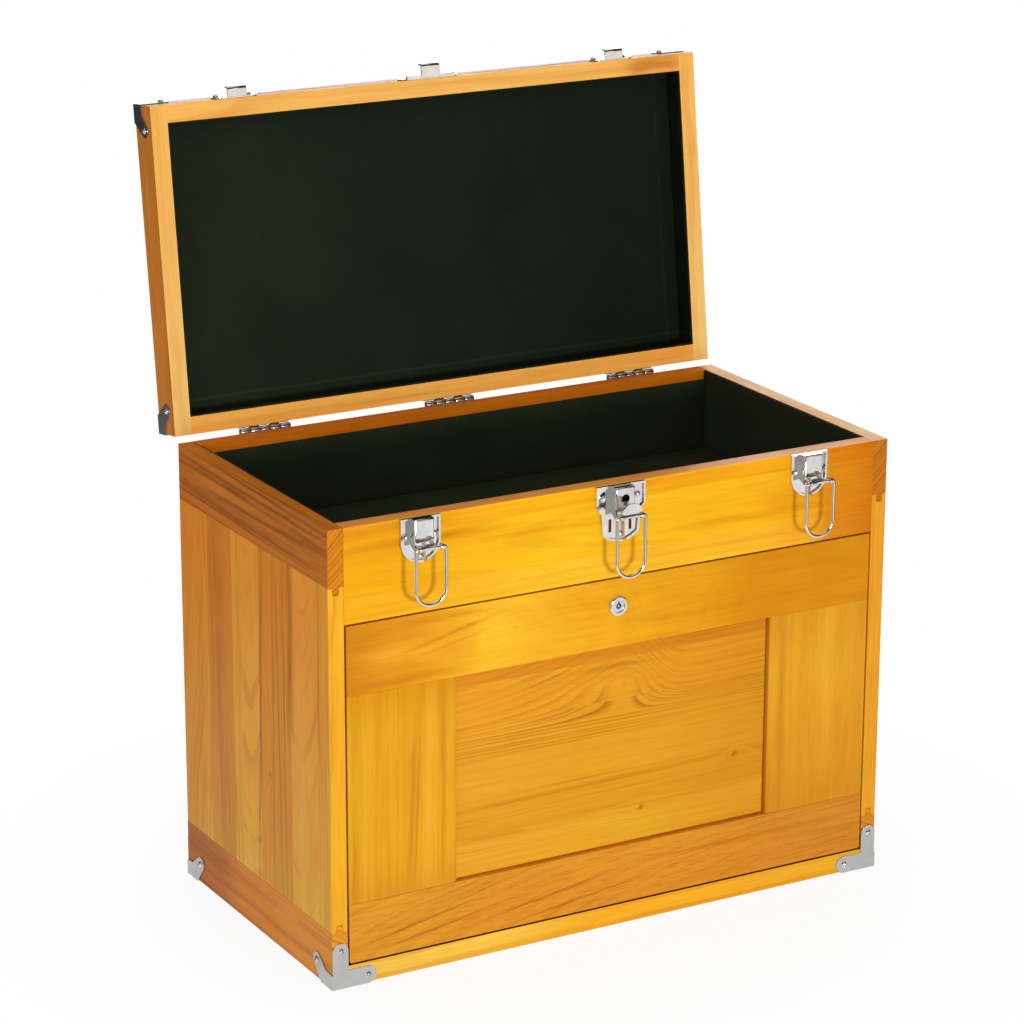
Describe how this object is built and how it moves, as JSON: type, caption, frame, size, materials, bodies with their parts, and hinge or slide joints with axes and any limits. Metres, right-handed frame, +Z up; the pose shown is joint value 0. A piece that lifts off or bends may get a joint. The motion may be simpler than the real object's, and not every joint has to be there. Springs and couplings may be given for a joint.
{
  "type": "tool chest",
  "caption": "Wooden tool chest with a hinged felt-lined lid over a till, draw latches, and a lift-out front panel over drawers.",
  "frame": {"origin": "centre of the chest's footprint, on the surface it stands on", "axes": "+X to the chest's right as seen from its front, +Y to its back, +Z up"},
  "size_m": [0.5156, 0.372, 0.6559],
  "materials": {
    "varnished_pine": "glossy amber varnish",
    "darker_wood": "glossy amber varnish",
    "drawer_wood": "satin varnish",
    "felt": "dark green felt",
    "bracket_steel": "satin nickel plate",
    "plated_steel": "bright plate",
    "nickel": "polished nickel plate",
    "leather": "dark brown strap"
  },
  "bodies": {
    "case": {"left_top_rail": "varnished_pine", "left_board": "varnished_pine", "left_bottom_rail": "darker_wood", "right_top_rail": "varnished_pine", "right_board": "varnished_pine", "right_bottom_rail": "darker_wood", "front_apron": "varnished_pine", "front_sill": "darker_wood", "back_board": "varnished_pine", "bottom_board": "darker_wood", "till_floor": "varnished_pine", "till_lining": "felt", "drawer_shelves": "drawer_wood", "drawer_dividers": "drawer_wood", "corner_brackets": "bracket_steel", "case_screws": "plated_steel", "hinge_case_leaves": "plated_steel", "hinge_pins": "plated_steel", "left_latch_base": "nickel", "right_latch_base": "nickel", "lock_base": "nickel", "latch_rivets": "plated_steel"},
    "lid": {"lid_stiles": "varnished_pine", "lid_rails": "varnished_pine", "lid_panel": "varnished_pine", "lid_lining": "felt", "lid_brackets": "bracket_steel", "lid_screws": "plated_steel", "hinge_lid_leaves": "plated_steel", "side_strikes": "nickel", "lock_strike": "nickel", "handle_strap": "leather", "handle_loops": "nickel"},
    "front_panel": {"panel_top_rail": "varnished_pine", "panel_bottom_rail": "darker_wood", "panel_left_stile": "varnished_pine", "panel_right_stile": "varnished_pine", "panel_field": "varnished_pine", "panel_lock_body": "nickel", "panel_pins": "plated_steel"},
    "panel_cam": {"panel_lock_cam": "nickel"},
    "lock_core": {"lock_rotor": "nickel"},
    "left_latch_lever": {"left_latch_lever": "nickel"},
    "left_latch_bail": {"left_latch_bail": "nickel"},
    "right_latch_lever": {"right_latch_lever": "nickel"},
    "right_latch_bail": {"right_latch_bail": "nickel"},
    "lock_lever": {"lock_lever": "nickel"},
    "lock_bail": {"lock_bail": "nickel"},
    "drawer_1": {"drawer_1_box": "drawer_wood", "drawer_1_knobs": "nickel"},
    "drawer_2": {"drawer_2_box": "drawer_wood", "drawer_2_knobs": "nickel"},
    "drawer_3": {"drawer_3_box": "drawer_wood", "drawer_3_knobs": "nickel"},
    "drawer_4": {"drawer_4_box": "drawer_wood", "drawer_4_knobs": "nickel"},
    "drawer_5": {"drawer_5_box": "drawer_wood", "drawer_5_knobs": "nickel"},
    "drawer_6": {"drawer_6_box": "drawer_wood", "drawer_6_knobs": "nickel"}
  },
  "joints": [
    {"name": "lid_hinge", "type": "hinge", "parent": "case", "child": "lid", "pos_m": [0, 0.1377, 0.375], "axis": [-1, 0, 0], "range_deg": [-97.2, 0]},
    {"name": "panel_draw_out", "type": "slide", "parent": "case", "child": "front_panel", "axis": [0, -1, 0], "range_m": [0, 0.36]},
    {"name": "panel_cam_turn", "type": "hinge", "parent": "front_panel", "child": "panel_cam", "pos_m": [0, -0.1335, 0.274], "axis": [0, 1, 0], "range_deg": [-90, 0]},
    {"name": "lock_core_turn", "type": "hinge", "parent": "case", "child": "lock_core", "pos_m": [0, -0.1335, 0.3648], "axis": [0, -1, 0], "range_deg": [0, 90]},
    {"name": "left_latch_lever_turn", "type": "hinge", "parent": "case", "child": "left_latch_lever", "pos_m": [-0.177, -0.1417, 0.3525], "axis": [-1, 0, 0], "range_deg": [-110, 0]},
    {"name": "left_latch_bail_turn", "type": "hinge", "parent": "left_latch_lever", "child": "left_latch_bail", "pos_m": [-0.177, -0.15228, 0.35469], "axis": [-1, 0, 0], "range_deg": [0, 290.4]},
    {"name": "right_latch_lever_turn", "type": "hinge", "parent": "case", "child": "right_latch_lever", "pos_m": [0.177, -0.1417, 0.3525], "axis": [-1, 0, 0], "range_deg": [-110, 0]},
    {"name": "right_latch_bail_turn", "type": "hinge", "parent": "right_latch_lever", "child": "right_latch_bail", "pos_m": [0.177, -0.15228, 0.35469], "axis": [-1, 0, 0], "range_deg": [0, 290.4]},
    {"name": "lock_lever_turn", "type": "hinge", "parent": "case", "child": "lock_lever", "pos_m": [0, -0.1417, 0.3505], "axis": [-1, 0, 0], "range_deg": [-110, 0]},
    {"name": "lock_bail_turn", "type": "hinge", "parent": "lock_lever", "child": "lock_bail", "pos_m": [0, -0.15228, 0.35269], "axis": [-1, 0, 0], "range_deg": [0, 290.4]},
    {"name": "drawer_1_slide", "type": "slide", "parent": "case", "child": "drawer_1", "axis": [0, -1, 0], "range_m": [0, 0.19]},
    {"name": "drawer_2_slide", "type": "slide", "parent": "case", "child": "drawer_2", "axis": [0, -1, 0], "range_m": [0, 0.19]},
    {"name": "drawer_3_slide", "type": "slide", "parent": "case", "child": "drawer_3", "axis": [0, -1, 0], "range_m": [0, 0.19]},
    {"name": "drawer_4_slide", "type": "slide", "parent": "case", "child": "drawer_4", "axis": [0, -1, 0], "range_m": [0, 0.19]},
    {"name": "drawer_5_slide", "type": "slide", "parent": "case", "child": "drawer_5", "axis": [0, -1, 0], "range_m": [0, 0.19]},
    {"name": "drawer_6_slide", "type": "slide", "parent": "case", "child": "drawer_6", "axis": [0, -1, 0], "range_m": [0, 0.19]}
  ],
  "couplings": [
    {"joint": "left_latch_bail_turn", "follows": "left_latch_lever_turn", "ratio": -2.64},
    {"joint": "right_latch_bail_turn", "follows": "right_latch_lever_turn", "ratio": -2.64},
    {"joint": "lock_bail_turn", "follows": "lock_lever_turn", "ratio": -2.64},
    {"joint": "drawer_1_slide", "follows": "panel_draw_out", "ratio": 0.3},
    {"joint": "drawer_2_slide", "follows": "panel_draw_out", "ratio": 0.36},
    {"joint": "drawer_3_slide", "follows": "panel_draw_out", "ratio": 0.42},
    {"joint": "drawer_4_slide", "follows": "panel_draw_out", "ratio": 0.36},
    {"joint": "drawer_5_slide", "follows": "panel_draw_out", "ratio": 0.44},
    {"joint": "drawer_6_slide", "follows": "panel_draw_out", "ratio": 0.5}
  ]
}
